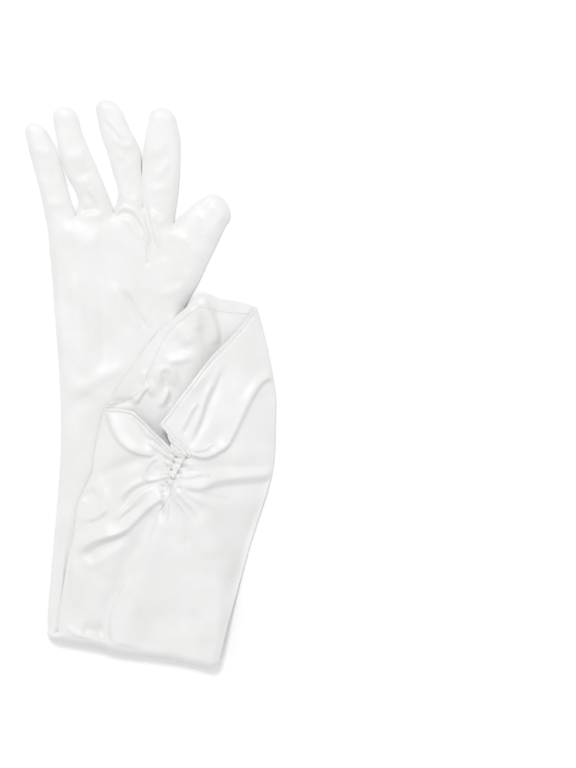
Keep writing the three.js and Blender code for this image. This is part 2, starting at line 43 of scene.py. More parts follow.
PHOTO_MIDDLE = (150.5, 384.0)  # the pixel over the glove's origin
PHOTO_SIZE = (576, 768)
VIEW_HEIGHT = 1.5
SENSOR = 36  # millimetres
TABLE_SIZE = 8
TABLE_DROP = 0.0003  # keeps the table clear of the cloth that lies on it


def seen(points):
    """Places given in the photo, as metres across and up the glove."""
    return (np.asarray(points, float) - PHOTO_MIDDLE) * (PIXEL, -PIXEL)


bpy.ops.object.select_all(action="DESELECT")
view_middle = seen([(PHOTO_SIZE[0] / 2, PHOTO_SIZE[1] / 2)])[0]
bpy.ops.object.camera_add(location=(*view_middle, VIEW_HEIGHT), rotation=(0, 0, 0))
camera = bpy.context.object
camera.name = "view_from_above"
camera.data.sensor_width = SENSOR
camera.data.lens = SENSOR * VIEW_HEIGHT / (PHOTO_SIZE[1] * PIXEL)
bpy.context.scene.camera = camera

bpy.ops.mesh.primitive_plane_add(size=TABLE_SIZE, location=(0, 0, -TABLE_DROP))
table = bpy.context.object
table.name = "table"
table_white = bpy.data.materials.new("table_white")
table_white.use_nodes = True
table_paint = table_white.node_tree.nodes["Principled BSDF"]
table_paint.inputs["Base Color"].default_value = (0.97, 0.97, 0.97, 1)
table_paint.inputs["Roughness"].default_value = 0.9
table_paint.inputs["Specular IOR Level"].default_value = 0.1
table.data.materials.append(table_white)

LIGHTS = [
    {"name": "light_past_fingers", "place": (-0.4, 1.6, 2.4), "size": 0.7, "power": 30},
    {"name": "light_over_table", "place": (0.1, -0.1, 2.4), "size": 2.2, "power": 4},
]
for light in LIGHTS:
    aim = Vector((0, 0, 0)) - Vector(light["place"])
    turn = aim.to_track_quat("-Z", "Y").to_euler()
    bpy.ops.object.light_add(type="AREA", location=light["place"], rotation=turn)
    lamp = bpy.context.object
    lamp.name = light["name"]
    lamp.data.size = light["size"]
    lamp.data.energy = light["power"]

room = bpy.data.worlds.new("white_room")
room.use_nodes = True
room_light = room.node_tree.nodes["Background"]
room_light.inputs["Color"].default_value = (1, 1, 1, 1)
room_light.inputs["Strength"].default_value = 0.745
bpy.context.scene.world = room
bpy.context.scene.view_settings.view_transform = "Standard"

# Back of the glove
# One panel of white satin covers the backs of the fingers, the hand and the forearm, turns
# round the inside of the fold, and comes up again as the rear of the sleeve, seen in the mouth.
MM = 0.001
CLOTH = 0.45 * MM
HAND_MIDDLE = 2.6 * MM  # half the depth of the glove where it turns at the fold
SEAM_HEIGHT = 1.2 * MM  # the side seams of the flat hand lie low
HAND_TOP = 4.4 * MM
FINGER_TOP = 3.5 * MM
HAND_EDGE, FINGER_EDGE = 9 * MM, 5 * MM  # how far in from a side seam the cloth still rises
EDGE_POWER = 2.3  # how steeply it rises at the seam
PUFF = 0.8 * MM  # how much the fingers and the hand stand over their flat depth
PUFF_REACH = 12 * MM  # in from a side seam
STRIP_HALF = 0.9 * MM  # half of what shows of the strips between the fingers
STRIP_REACH = 0.82  # how far up a finger those strips go
STRIP_POINT = 0.25  # the share of a finger's length over which they run out to a point

# Edges of the hand and forearm in the photo, from the finger roots to the fold:
# left across and down, right across and down.
ARM_EDGES = [
    (44.6, 212, 174.8, 214),
    (47, 224, 173.7, 223.4),
    (50.2, 254, 178, 252),
    (52.8, 282, 182, 282),
    (54.5, 307, 184.5, 308),
    (58, 350, 182.5, 356),
    (60.6, 395, 184.5, 404),
    (61.5, 440, 189, 454),
    (59.3, 485, 196, 508),
    (55.5, 530, 203, 560),
    (51.5, 575, 209.5, 606),
    (48.6, 610, 215.5, 640),
    (48.5, 628.3, 219.5, 658.8),
]
THUMB_STATIONS = (1, 4)  # the stations between which the thumb is set in

# Finger edges in the photo from root to where the tip starts to round, and the tip.
FINGERS = [
    {
        "name": "little",
        "columns": 24,
        "left": [(44.6, 212), (40, 190), (34, 168), (29.5, 152), (26.3, 137)],
        "right": [(76, 216), (69.5, 196), (63, 172), (57, 152), (50.3, 138)],
        "tip": (33.5, 123.3),
    },
    {
        "name": "ring",
        "columns": 28,
        "left": [(76, 216), (79, 201), (75.6, 191), (67, 174), (60.4, 153), (56, 133), (53.5, 120)],
        "right": [(114, 213), (109, 198), (103.7, 184), (97, 168), (88.6, 149), (81, 130), (78, 118)],
        "tip": (63, 106.8),
    },
    {
        "name": "middle",
        "columns": 24,
        "left": [(114, 213), (118.6, 194), (117.4, 185), (113, 172), (108, 153.5), (101.5, 135), (97, 115)],
        "right": [(143, 208), (143, 190), (141.5, 172), (140, 152), (136, 140.5), (129, 127.5), (124.3, 116)],
        "tip": (106, 100.3),
    },
    {
        "name": "first",
        "columns": 26,
        "left": [(143, 208), (142.4, 190), (142, 172), (144, 150), (146, 133), (149, 120)],
        "right": [(174.8, 214), (177, 200), (179.4, 176.5), (180, 155), (179.6, 137), (176.3, 122)],
        "tip": (162, 108.3),
    },
]
THUMB = {
    "name": "thumb",
    "left": [(173.7, 223.4), (183, 214.5), (191, 207), (199.6, 200), (206, 196)],
    "right": [(184.5, 308), (192.4, 293), (199.6, 280), (208, 261.6), (217, 243), (226, 224)],
    "tip": (226.3, 202.5),
}
FINGER_ROWS = 38
TIP_ROWS = 12


def white_satin():
    """Satin: long floating threads, a soft sheen, uneven gloss, and broad light and dark patches in its
    colour that are partly uneven tone and partly painted sheen.
    """
    cloth = bpy.data.materials.new("white_satin")
    cloth.use_nodes = True
    nodes, links = cloth.node_tree.nodes, cloth.node_tree.links
    finish = nodes["Principled BSDF"]
    finish.inputs["Sheen Weight"].default_value = 0.12
    finish.inputs["Sheen Roughness"].default_value = 0.45
    finish.inputs["Anisotropic"].default_value = 0.35
    place = nodes.new("ShaderNodeTexCoord")

    def noise(source, scale, detail):
        """Uneven values, by scale in features a metre."""
        mapping = nodes.new("ShaderNodeMapping")
        mapping.inputs["Scale"].default_value = scale
        links.new(place.outputs[source], mapping.inputs["Vector"])
        texture = nodes.new("ShaderNodeTexNoise")
        texture.inputs["Scale"].default_value = 1
        texture.inputs["Detail"].default_value = detail
        links.new(mapping.outputs["Vector"], texture.inputs["Vector"])
        return texture.outputs["Fac"]

    def spread(value, low, high):
        """Stretches values from 0 to 1 over low to high."""
        fit = nodes.new("ShaderNodeMapRange")
        fit.inputs["To Min"].default_value = low
        fit.inputs["To Max"].default_value = high
        links.new(value, fit.inputs["Value"])
        return fit.outputs["Result"]

    # Painted sheen: broad light and dark patches in the base colour stand partly for the satin's reflections
    # and partly for uneven tone.
    tone_and_painted_sheen = nodes.new("ShaderNodeMix")
    tone_and_painted_sheen.data_type = "RGBA"
    tone_and_painted_sheen.inputs["A"].default_value = (0.765, 0.765, 0.757, 1)
    tone_and_painted_sheen.inputs["B"].default_value = (0.825, 0.825, 0.822, 1)
    links.new(spread(noise("Object", (38, 38, 38), 3), -0.8, 1.8), tone_and_painted_sheen.inputs["Factor"])
    links.new(tone_and_painted_sheen.outputs["Result"], finish.inputs["Base Color"])
    links.new(spread(noise("Object", (80, 80, 80), 2), 0.34, 0.5), finish.inputs["Roughness"])

    threads = nodes.new("ShaderNodeBump")
    threads.inputs["Strength"].default_value = 0.25
    threads.inputs["Distance"].default_value = 0.00006
    links.new(noise("UV", (3600, 420, 1), 2), threads.inputs["Height"])
    crush = nodes.new("ShaderNodeBump")
    crush.inputs["Strength"].default_value = 0.5
    crush.inputs["Distance"].default_value = 0.0009
    links.new(noise("Object", (75, 60, 70), 3), crush.inputs["Height"])
    links.new(threads.outputs["Normal"], crush.inputs["Normal"])
    links.new(crush.outputs["Normal"], finish.inputs["Normal"])
    return cloth


satin = white_satin()


def smooth_line(points, shares):
    """Points on a smooth curve through the given ones, at shares of its length."""
    points = np.asarray(points, float)
    steps = np.linalg.norm(np.diff(points, axis=0), axis=1)
    length = np.concatenate([[0], np.cumsum(steps)])
    slopes = np.gradient(points, length, axis=0)
    at = np.clip(shares, 0, 1) * length[-1]
    i = np.clip(np.searchsorted(length, at, side="right") - 1, 0, len(steps) - 1)
    t = ((at - length[i]) / steps[i])[:, None]
    span = steps[i][:, None]
    return (
        (1 + 2 * t) * (1 - t) ** 2 * points[i]
        + t * (1 - t) ** 2 * span * slopes[i]
        + t**2 * (3 - 2 * t) * points[i + 1]
        + t**2 * (t - 1) * span * slopes[i + 1]
    )


def running_length(points):
    """The length along a line of points at each of them."""
    return np.concatenate([[0], np.cumsum(np.linalg.norm(np.diff(points, axis=0), axis=1))])


def row_shares(points):
    """The share of a smooth line's length at each of its given points."""
    length = running_length(np.asarray(points, float))
    return length / length[-1]


def ease(x):
    """Rises smoothly from 0 to 1 as x does."""
    x = np.clip(x, 0, 1)
    return x * x * (3 - 2 * x)


def toward_edges(count):
    """Shares across a face for count steps, closer together at both edges."""
    even = np.linspace(0, 1, count + 1)
    return 0.5 * even + 0.25 * (1 - np.cos(np.pi * even))


def across(left, right, shares):
    """Rows of places between left and right edges."""
    return left[:, None] + (right - left)[:, None] * shares[None, :, None]


def finger_plan(finger, shares):
    """Rows of places from a finger's root to its tip, which rounds off as a half ellipse."""
    up = np.linspace(0, 1, FINGER_ROWS + 1)
    left = smooth_line(seen(finger["left"]), up)
    right = smooth_line(seen(finger["right"]), up)
    middle = (left[-1] + right[-1]) / 2
    half = (right[-1] - left[-1]) / 2
    reach = seen([finger["tip"]])[0] - middle
    turns = np.linspace(0, np.pi / 2, TIP_ROWS + 1)[1:, None]
    tip_left = middle - half * np.cos(turns) + reach * np.sin(turns)
    tip_right = middle + half * np.cos(turns) + reach * np.sin(turns)
    return across(np.concatenate([left, tip_left]), np.concatenate([right, tip_right]), shares)


finger_shares = [toward_edges(finger["columns"]) for finger in FINGERS]
root_columns = np.cumsum([0] + [finger["columns"] for finger in FINGERS])
HAND_COLUMNS = root_columns[-1]
finger_plans = [finger_plan(finger, shares) for finger, shares in zip(FINGERS, finger_shares)]
root_row = np.concatenate(
    [plan[0][: finger["columns"]] for finger, plan in zip(FINGERS, finger_plans)] + [finger_plans[-1][0][-1:]]
)


def arm_plan(steps):
    """Rows of places of the hand and forearm, with so many steps from each station to the next."""
    edges = np.asarray(ARM_EDGES, float)
    edges = np.concatenate([seen(edges[:, :2]), seen(edges[:, 2:])], axis=1)
    stations = row_shares(edges)
    at = np.concatenate(
        [np.linspace(stations[i], stations[i + 1], count, endpoint=False) for i, count in enumerate(steps)]
        + [[1.0]]
    )
    ends = smooth_line(edges, at)
    left, right = ends[:, :2], ends[:, 2:]
    span = right[0] - left[0]
    root_shares = (root_row - left[0]) @ span / (span @ span)
    even_shares = toward_edges(HAND_COLUMNS)
    settle = ease(at / stations[2])[:, None]
    shares = root_shares + (even_shares - root_shares) * settle
    plan = left[:, None] + (right - left)[:, None] * shares[:, :, None]
    straight = left[0] + np.outer(root_shares, span)
    fade = np.clip(1 - at / stations[1], 0, 1)[:, None, None] ** 2
    return plan + (root_row - straight)[None] * fade


def gap_lift(count):
    """Half height of the strip between two fingers, at each of count points from root to tip."""
    up = np.linspace(0, 1, count)
    return STRIP_HALF * ease((STRIP_REACH - up) / STRIP_POINT)


# Steps of the back's rows from each of the arm's stations to the next
ARM_STEPS = [7, 18, 18, 15, 26, 26, 8, 5, 5, 5, 5, 3]
arm_rows = arm_plan(ARM_STEPS)
thumb_from = sum(ARM_STEPS[: THUMB_STATIONS[0]])
thumb_to = sum(ARM_STEPS[: THUMB_STATIONS[1]])
thumb_root = arm_rows[thumb_from : thumb_to + 1, -1]
thumb_shares = row_shares(thumb_root)
thumb_rows = finger_plan(THUMB, thumb_shares)
thumb_fade = ease(1 - 3 * np.linspace(0, 1, len(thumb_rows)))[:, None, None]  # over its first third
thumb_rows = thumb_rows + (thumb_root - thumb_rows[0])[None] * thumb_fade

# The hand's outline with the height of the finger strips along it, from the fold's left end
# round the fingers and thumb to its right end.
outline = [arm_rows[::-1, 0]]
lifts = [np.zeros(len(arm_rows))]
for number, plan in enumerate(finger_plans):
    for side, edge in ((0, plan[:, 0]), (-1, plan[::-1, -1])):
        outer = (number == 0 and side == 0) or (number == len(FINGERS) - 1 and side == -1)
        lift = np.zeros(len(edge)) if outer else gap_lift(len(edge))
        outline.append(edge)
        lifts.append(lift if side == 0 else lift[::-1])
outline += [arm_rows[:thumb_from, -1], thumb_rows[:, 0], thumb_rows[::-1, -1], arm_rows[thumb_to + 1 :, -1]]
lifts += [np.zeros(len(part)) for part in outline[-4:]]
outline = np.concatenate(outline)
lifts = np.concatenate(lifts)

BATCH = 4000  # places that are compared with a line at a time


def nearest(places, line):
    """For each place: its distance to a line of points, where along it in steps, and the side, 1 for left."""
    start, step = line[:-1], np.diff(line, axis=0)
    square = np.maximum((step**2).sum(axis=1), 1e-16)
    flat = places.reshape(-1, 2)
    distance, share, side = (np.empty(len(flat)) for _ in range(3))
    for first in range(0, len(flat), BATCH):
        here = flat[first : first + BATCH, None] - start[None]
        t = np.clip((here * step).sum(axis=2) / square, 0, 1)
        gap = here - t[:, :, None] * step[None]
        far = np.hypot(gap[:, :, 0], gap[:, :, 1])
        best = far.argmin(axis=1)
        pick = np.arange(len(best))
        distance[first : first + BATCH] = far[pick, best]
        share[first : first + BATCH] = best + t[pick, best]
        turn = step[best, 0] * here[pick, best, 1] - step[best, 1] * here[pick, best, 0]
        side[first : first + BATCH] = np.where(turn >= 0, 1, -1)
    shape = places.shape[:-1]
    return distance.reshape(shape), share.reshape(shape), side.reshape(shape)


def slope_up(distance, reach):
    """Rises from 0 at an edge to 1 at reach, steepest at the edge."""
    return 1 - (1 - np.clip(distance / reach, 0, 1)) ** EDGE_POWER


# The fold at the bottom, where the glove turns up over itself. Its edge in the photo:
FOLD_EDGE = [
    (47, 636.5), (60, 639), (80, 642.5), (105, 647.5), (110, 649.5), (120, 651.5),
    (150, 655), (180, 659.5), (200, 664), (213, 667), (218, 667),
]
fold_ends = seen([FOLD_EDGE[0], FOLD_EDGE[-1]])
fold_way = (fold_ends[1] - fold_ends[0]) / np.linalg.norm(fold_ends[1] - fold_ends[0])
up_from_fold = np.array((-fold_way[1], fold_way[0]))
FOLD_SETTLE = 34 * MM  # this far from the fold the side seams lie low again
FINGER_SETTLE = 30 * MM  # the fingers' height gives way to the hand's over this stretch
ROOTS_HEIGHT = seen([(110, 222)])[0, 1]


def hand_heights(plan, face):
    """Heights of the flat hand's upper face (1) or lower face (-1) at rows of places."""
    distance, share, _ = nearest(plan, outline)
    lift = np.interp(share, np.arange(len(lifts)), lifts)
    near_fold = ease(1 - (plan - fold_ends[0]) @ up_from_fold / FOLD_SETTLE)
    seam = SEAM_HEIGHT + (HAND_MIDDLE - SEAM_HEIGHT) * near_fold
    if face < 0:
        return (seam - lift) * (1 - slope_up(distance, HAND_EDGE / 2))
    finger = ease((plan[..., 1] - ROOTS_HEIGHT) / FINGER_SETTLE + 0.5)
    top = HAND_TOP + (FINGER_TOP - HAND_TOP) * finger + (2 * HAND_MIDDLE - HAND_TOP) * near_fold
    reach = HAND_EDGE + (FINGER_EDGE - HAND_EDGE) * np.maximum(finger, near_fold)
    rise = (top - seam - lift) * slope_up(distance, reach)
    return seam + lift + rise + PUFF * (1 - near_fold) * ease(distance / PUFF_REACH)


# Broad waves of cloth that lies loose: the way they run, their length against the first's, and shift.
WAVES = [(0.4, 1.0, 0.3), (1.5, 1.3, 2.1), (2.3, 0.8, 4.0), (2.9, 1.7, 5.2), (0.9, 0.6, 1.2)]


def ripple(plan, length, height):
    """Low uneven waves over rows of places, with their length and height in metres."""
    total = 0
    for turn, share, shift in WAVES:
        along = plan[..., 0] * math.cos(turn) + plan[..., 1] * math.sin(turn)
        aside = plan[..., 1] * math.cos(turn) - plan[..., 0] * math.sin(turn)
        drift = 1.3 * np.sin(2 * aside / (length * share) + 2 * shift)
        total = total + np.sin(2 * math.pi * along / (length * share) + shift + drift)
    return height * total / len(WAVES)


HAND_WAVES = (24 * MM, 0.22 * MM)  # their length and height on the hand, and on the sleeve's rear
REAR_WAVES = (17 * MM, 0.25 * MM)
# Seams and soft folds of the back of the hand: rise, and the widths to the left and right of the way
# they run, in millimetres. Then their places in the photo from end to end, and for some the shares of
# the length over which they fade in and out.
HAND_FOLDS = [
    (-0.9, 1.5, 2.0, [(80, 212), (90, 209.5), (101, 209.5)]),
    (0.5, 1.5, 2.5, [(78, 219), (90, 216.5), (106, 216)]),
    (1.0, 8, 6, [(60, 226), (80, 238), (104, 244)]),
    (1.2, 1.6, 2.2, [(114, 216), (122, 209), (133, 211), (143, 222), (148, 236), (150, 250)], 0.1, 0.3),
    (-1.0, 1.2, 1.8, [(116, 218), (124, 212.5), (132, 215), (139, 224), (145, 237)]),
    (0.6, 2.0, 2.5, [(119, 221), (128, 221), (136, 230), (141, 242)]),
    (-1.0, 1.2, 1.6, [(145, 200), (147, 215), (151, 232), (157, 252)]),
    (0.8, 2.0, 1.6, [(150, 206), (153, 220), (157, 236), (161, 250)]),
    (-1.0, 1.0, 1.2, [(150, 240), (149, 252), (148.5, 263)]),
    (-1.3, 1.2, 1.2, [(148.2, 260), (148.4, 262.5), (148.6, 265)]),
    (-1.0, 1.2, 2.2, [(118, 286), (131, 303), (140, 318), (150, 332)]),
    (0.8, 1.6, 4, [(112, 280), (124, 300), (136, 320), (144, 336)]),
    (0.5, 4, 1.6, [(122, 282), (136, 300), (146, 316), (154, 328)]),
    (-0.6, 1.5, 2.5, [(150, 347), (160, 333), (168, 318)]),
    (0.5, 3, 2, [(157, 340), (168, 328), (178, 312)]),
    (1.3, 6, 5, [(74, 262), (78, 300), (82, 350), (86, 378)]),
    (-1.3, 5, 5, [(98, 250), (104, 310), (106, 380)]),
    (0.7, 2.5, 2.5, [(55, 240), (60, 300), (63, 390)]),
    (1.0, 5, 4, [(66, 396), (90, 384), (112, 372), (134, 366)]),
    (-0.8, 4, 4, [(63, 420), (80, 404), (98, 396)]),
    (-0.7, 1.8, 1.8, [(64, 500), (58, 550), (55, 600), (53, 630)]),
    (0.7, 1.5, 1.5, [(70, 510), (64, 560), (61, 600), (59, 628)]),
    (-0.6, 1.3, 1.3, [(69, 545), (66, 585), (63, 615)]),
    # the seams over the middle finger and at the roots of the ring finger
    (-0.7, 1, 1, [(82, 190), (79.5, 203), (77, 214)]),
    (-0.6, 1.3, 1.3, [(86, 192), (92, 200), (97, 209)]),
    (0.5, 1.5, 1.5, [(89, 186), (94, 196), (100, 205)]),
    (-0.6, 0.9, 1.3, [(99, 114), (108, 124), (120, 140), (127, 160), (130, 180)]),
    (0.5, 1.2, 1.0, [(104, 116), (113, 127), (123, 141)]),
    (0.6, 1.3, 1.5, [(112, 136), (122, 146), (138, 144)]),
    (0.5, 1.5, 1.3, [(116, 152), (124, 160), (133, 172)]),
    (-0.6, 3, 3, [(122, 170), (131, 190), (133, 206)]),
    (0.4, 2.5, 2.5, [(120, 196), (130, 200), (140, 199)]),
    # soft dents and rises of the fingers and the thumb
    (0.5, 3.5, 3, [(30, 150), (42, 153), (54, 156)]),
    (-0.35, 4, 4, [(36, 172), (46, 176), (60, 177)]),
    (0.5, 3, 3, [(42, 204), (56, 205), (70, 205)]),
    (0.55, 4, 3, [(62, 160), (72, 158), (88, 156)]),
    (-0.4, 3, 3, [(74, 176), (86, 172), (98, 170)]),
    (0.4, 2.5, 2, [(76, 186), (84, 183), (92, 184)]),
    (0.4, 3, 3, [(150, 156), (160, 150), (168, 140)]),
    (0.6, 3, 2.5, [(152, 180), (162, 172), (172, 158)]),
    (0.5, 2.5, 3, [(150, 193), (160, 189), (172, 186)]),
    (0.7, 3, 2.5, [(150, 214), (158, 221), (166, 226)]),
    (0.6, 4, 4, [(158, 258), (170, 270), (178, 284)]),
    (0.7, 4, 3, [(156, 296), (170, 293), (186, 284)]),
    (0.7, 3, 2.5, [(178, 236), (190, 244), (199, 262)]),
    (0.5, 2.5, 2.5, [(196, 212), (204, 222), (208, 240)]),
    (0.5, 2, 2, [(210, 204), (218, 212), (222, 226)]),
    (-0.5, 3, 3, [(168, 236), (182, 256), (190, 276)]),
]


FADE = (0.25, 0.25)
LINE_POINTS = 25
WIDTHS_KEPT = 3  # a fold is level this many widths from its line


def fold_relief(plan, folds):
    """Height that a table of folds adds at rows of places. Each fades out to its ends."""
    total = np.zeros(plan.shape[:-1])
    for rise, left, right, places, *fades in folds:
        line = smooth_line(seen(places), np.linspace(0, 1, LINE_POINTS))
        reach = WIDTHS_KEPT * max(left, right) * MM
        near = (
            (plan[..., 0] > line[:, 0].min() - reach)
            & (plan[..., 0] < line[:, 0].max() + reach)
            & (plan[..., 1] > line[:, 1].min() - reach)
            & (plan[..., 1] < line[:, 1].max() + reach)
        )
        if not near.any():
            continue
        distance, share, side = nearest(plan[near], line)
        share = share / (len(line) - 1)
        fade_in, fade_out = fades or FADE
        fade = ease(share / fade_in) * ease((1 - share) / fade_out)
        width = np.where(side > 0, left, right) * MM
        total[near] += rise * MM * fade * np.exp(-((distance / width) ** 2))
    return total


def cloth_grid(name, rows):
    """A grid of faces whose corners are moved to rows of points. Its UV map is the cloth in metres."""
    row_count, column_count = rows.shape[:2]
    bpy.ops.object.select_all(action="DESELECT")
    bpy.ops.mesh.primitive_grid_add(x_subdivisions=column_count - 1, y_subdivisions=row_count - 1, size=1)
    piece = bpy.context.object
    piece.name = name
    corners = np.empty(len(piece.data.vertices) * 3)
    piece.data.vertices.foreach_get("co", corners)
    corners = corners.reshape(-1, 3)
    column = np.rint((corners[:, 0] + 0.5) * (column_count - 1)).astype(int)
    row = np.rint((corners[:, 1] + 0.5) * (row_count - 1)).astype(int)
    piece.data.vertices.foreach_set("co", rows[row, column].ravel())
    threads = piece.data.uv_layers[0].data
    weave = np.empty(len(threads) * 2)
    threads.foreach_get("uv", weave)
    weave = np.rint(weave.reshape(-1, 2) * (column_count - 1, row_count - 1)).astype(int)
    along_row = running_length(rows[row_count // 2])[weave[:, 0]]
    along_column = running_length(rows[:, column_count // 2])[weave[:, 1]]
    threads.foreach_set("uv", np.stack([along_row, along_column], axis=1).ravel())
    return piece


MERGE = 0.01 * MM
CREASE = math.radians(60)  # sharper edges than this aren't smoothed


def sew(name, parts, thickness=CLOTH):
    """Joins grids into one satin cloth, merges the corners that they share, and gives it a thickness."""
    bpy.ops.object.select_all(action="DESELECT")
    for part in parts:
        part.select_set(True)
    bpy.context.view_layer.objects.active = parts[0]
    if len(parts) > 1:
        bpy.ops.object.join()
    piece = bpy.context.object
    piece.name = name
    piece.data.name = name
    bpy.ops.object.mode_set(mode="EDIT")
    bpy.ops.mesh.select_all(action="SELECT")
    bpy.ops.mesh.remove_doubles(threshold=MERGE)
    bpy.ops.object.mode_set(mode="OBJECT")
    wall = piece.modifiers.new("thickness", "SOLIDIFY")
    wall.thickness = thickness
    wall.offset = -1
    bpy.ops.object.modifier_apply(modifier=wall.name)
    bpy.ops.object.shade_smooth_by_angle(angle=CREASE)
    piece.data.materials.append(satin)
    return piece


def with_heights(plan, heights):
    return np.concatenate([plan, heights[..., None]], axis=2)


LAYER_GAP = 0.5 * MM  # clear height between the forearm and the sleeve on it
BEND_RADIUS = HAND_MIDDLE + LAYER_GAP / 2
BEND_REACH = BEND_RADIUS + HAND_MIDDLE  # from the bend's axis to the fold's edge
SLEEVE_FLOOR = 2 * HAND_MIDDLE + LAYER_GAP
MOUTH_HALF = 4.8 * MM  # half the depth of the sleeve at its mouth
SLEEVE_INSET = 0.064  # how far the sleeve's left edge stands in from the forearm's, at the fold

# Edges of the sleeve in the photo, from the fold to the ends of the hem:
# left across and down, right across and down.
SLEEVE_EDGES = [
    (59.4, 630.4, 219.5, 658.8), (60.2, 612, 226, 632), (62.5, 596, 231.5, 611),
    (65.5, 577, 238, 588), (69, 556, 244.5, 565), (73.5, 537, 250.5, 543),
    (76, 520, 256.5, 525), (78.5, 504, 262, 508), (85, 488, 267.5, 491),
    (92.5, 472, 272, 473), (95, 453, 274.5, 452), (98, 437, 275.2, 425),
    (100.6, 426, 275.5, 396), (102.3, 418, 272.3, 374), (104, 412, 266.5, 345),
    (105, 408, 256.5, 307),
]
# Edge of the mouth at the rear in the photo: share of the columns, across, down.
REAR_MOUTH = [
    (0, 105, 408), (0.07, 112, 398), (0.14, 120, 385), (0.22, 129, 372), (0.3, 138, 360),
    (0.39, 148, 345), (0.47, 159, 332), (0.55, 170, 322), (0.63, 184, 310), (0.7, 192, 302),
    (0.76, 201, 293.5), (0.8, 207, 295), (0.86, 220, 299), (0.93, 240, 302.5), (1, 256.5, 307),
]
PULL_POWER = 2.2  # how fast the mouth's shape straightens out in the rows below it


def mouth_line(table, shares):
    """Places along a table's edge of the mouth, at shares of the columns."""
    table = np.asarray(table, float)
    return seen(np.stack([np.interp(shares, table[:, 0], table[:, column]) for column in (1, 2)], axis=1))


def sleeve_plan(mouth, shares, rises):
    """Rows of places of one face of the sleeve, at rises from 0 at the fold to 1 at the mouth."""
    edges = np.asarray(SLEEVE_EDGES, float)
    ends = smooth_line(np.concatenate([seen(edges[:, :2]), seen(edges[:, 2:])], axis=1), rises)
    edge = mouth_line(mouth, shares)
    plan = across(ends[:, :2], ends[:, 2:], shares)
    straight = edge[0] + np.outer(shares, edge[-1] - edge[0])
    return plan + (edge - straight)[None] * (rises**PULL_POWER)[:, None, None]


def fold_place(shares):
    """Places on the bend's axis, in from the fold's edge."""
    edge = smooth_line(seen(FOLD_EDGE), np.clip(shares, 0, 1))
    return edge + up_from_fold * BEND_REACH


def bend_rows(face, shares, steps):
    """Rows round the outside (1) or the inside (-1) of the fold, from the forearm up to the sleeve."""
    rows = []
    from_ends = np.minimum(shares, 1 - shares) * np.linalg.norm(fold_ends[1] - fold_ends[0])
    for turned in np.linspace(0, 1, steps + 1):
        inset = SLEEVE_INSET * ease(2 * turned - 1)
        places = inset + (1 - inset) * shares
        radius = BEND_RADIUS + face * HAND_MIDDLE * slope_up(from_ends, FINGER_EDGE)
        out = radius * math.sin(math.pi * turned)
        plan = fold_place(places) - up_from_fold * out[:, None]
        rows.append(np.column_stack([plan, BEND_REACH - radius * math.cos(math.pi * turned)]))
    return np.array(rows)


# Past the forearm's right edge the sleeve drapes down to the table.
DRAPE_START = 3 * MM
DRAPE_RUN = 24 * MM
SLEEVE_SETTLE = 0.15  # by this share of its length the sleeve's side seams lie low
arm_right = seen([(edge[2], edge[3]) for edge in ARM_EDGES])[::-1]


def sleeve_floor(plan):
    """Height of what the sleeve lies on: the forearm, or the table past its right edge."""
    past = plan[..., 0] - np.interp(plan[..., 1], arm_right[:, 1], arm_right[:, 0]) - DRAPE_START
    return SLEEVE_FLOOR * (1 - ease(past / DRAPE_RUN))


# Folds of the rear of the sleeve, seen in the mouth and written like the hand's.
REAR_FOLDS = [
    (1.8, 1.6, 5, [(203, 296), (208, 308), (212, 318), (215.5, 326), (217, 336),
        (217.5, 348)], 0.15, 0.2),
    (-0.7, 3.5, 3.5, [(238, 318), (226, 317), (214, 309)]),
    (1.0, 3.5, 2.5, [(194, 306), (196.5, 318), (198, 332)]),
    (-0.6, 2.5, 3, [(202, 315), (204, 330), (206, 345)]),
    (-0.8, 4, 4, [(172, 336), (182, 348), (192, 357)]),
    (1.3, 4, 2.2, [(164, 366), (172, 362), (182, 360), (192, 355)]),
    (1.0, 3, 4, [(176, 324), (184, 334), (191, 346)]),
    (1.5, 1.5, 2.6, [(157, 392), (157.5, 380), (160, 371), (166, 367.5), (172, 369.5), (176, 377),
        (178, 390)], 0.25, 0.3),
    (-0.9, 2, 2, [(165, 376), (166, 386), (163, 398)]),
    (1.5, 1.8, 2, [(160, 408), (165, 398), (168, 387)]),
    (-0.9, 2, 2, [(171, 380), (172, 394), (168, 408)]),
    (0.8, 2, 2, [(147, 370), (145, 380), (147, 387)]),
    (1.8, 3.0, 0.9, [(134, 406), (140, 398), (145, 390.5), (148.5, 388), (151, 392), (153, 399)]),
    (-0.9, 2.4, 2.4, [(112, 403), (124, 402), (136, 400)]),
]

REAR_ROWS = (14, 92)  # in its hidden half, and in the half that shows in the mouth
REAR_LOWEST = -0.8 * MM  # the deepest dent, which the forearm below allows
REAR_RISES = np.concatenate(
    [np.linspace(0, 0.5, REAR_ROWS[0], endpoint=False), np.linspace(0.5, 1, REAR_ROWS[1])]
)
back_shares = toward_edges(HAND_COLUMNS)
rear_plan = sleeve_plan(REAR_MOUTH, back_shares, REAR_RISES)


def rear_heights(plan, rises):
    """Heights of the rear of the sleeve with its folds."""
    from_side = np.minimum(nearest(plan, rear_plan[:, 0])[0], nearest(plan, rear_plan[:, -1])[0])
    floor = sleeve_floor(plan)
    seam = HAND_MIDDLE + (SEAM_HEIGHT - HAND_MIDDLE) * ease(rises / SLEEVE_SETTLE)[:, None]
    relief = fold_relief(plan, REAR_FOLDS) + ripple(plan, *REAR_WAVES) * rises[:, None]
    lowest = REAR_LOWEST * ease(rises)[:, None]
    inside = slope_up(from_side, HAND_EDGE / 2)
    return np.maximum(floor + seam * (1 - inside) + np.maximum(relief, lowest) * inside, CLOTH)


rear_tops = rear_heights(rear_plan, REAR_RISES)
arm_rows[-1] = fold_place(back_shares)
# Under the sleeve the hand's folds die out over this run, but not on the strip left of it.
HIDDEN_RUN, STRIP_RUN = 20 * MM, 6 * MM
strip_right, hidden_below = seen([(78, 440)])[0]


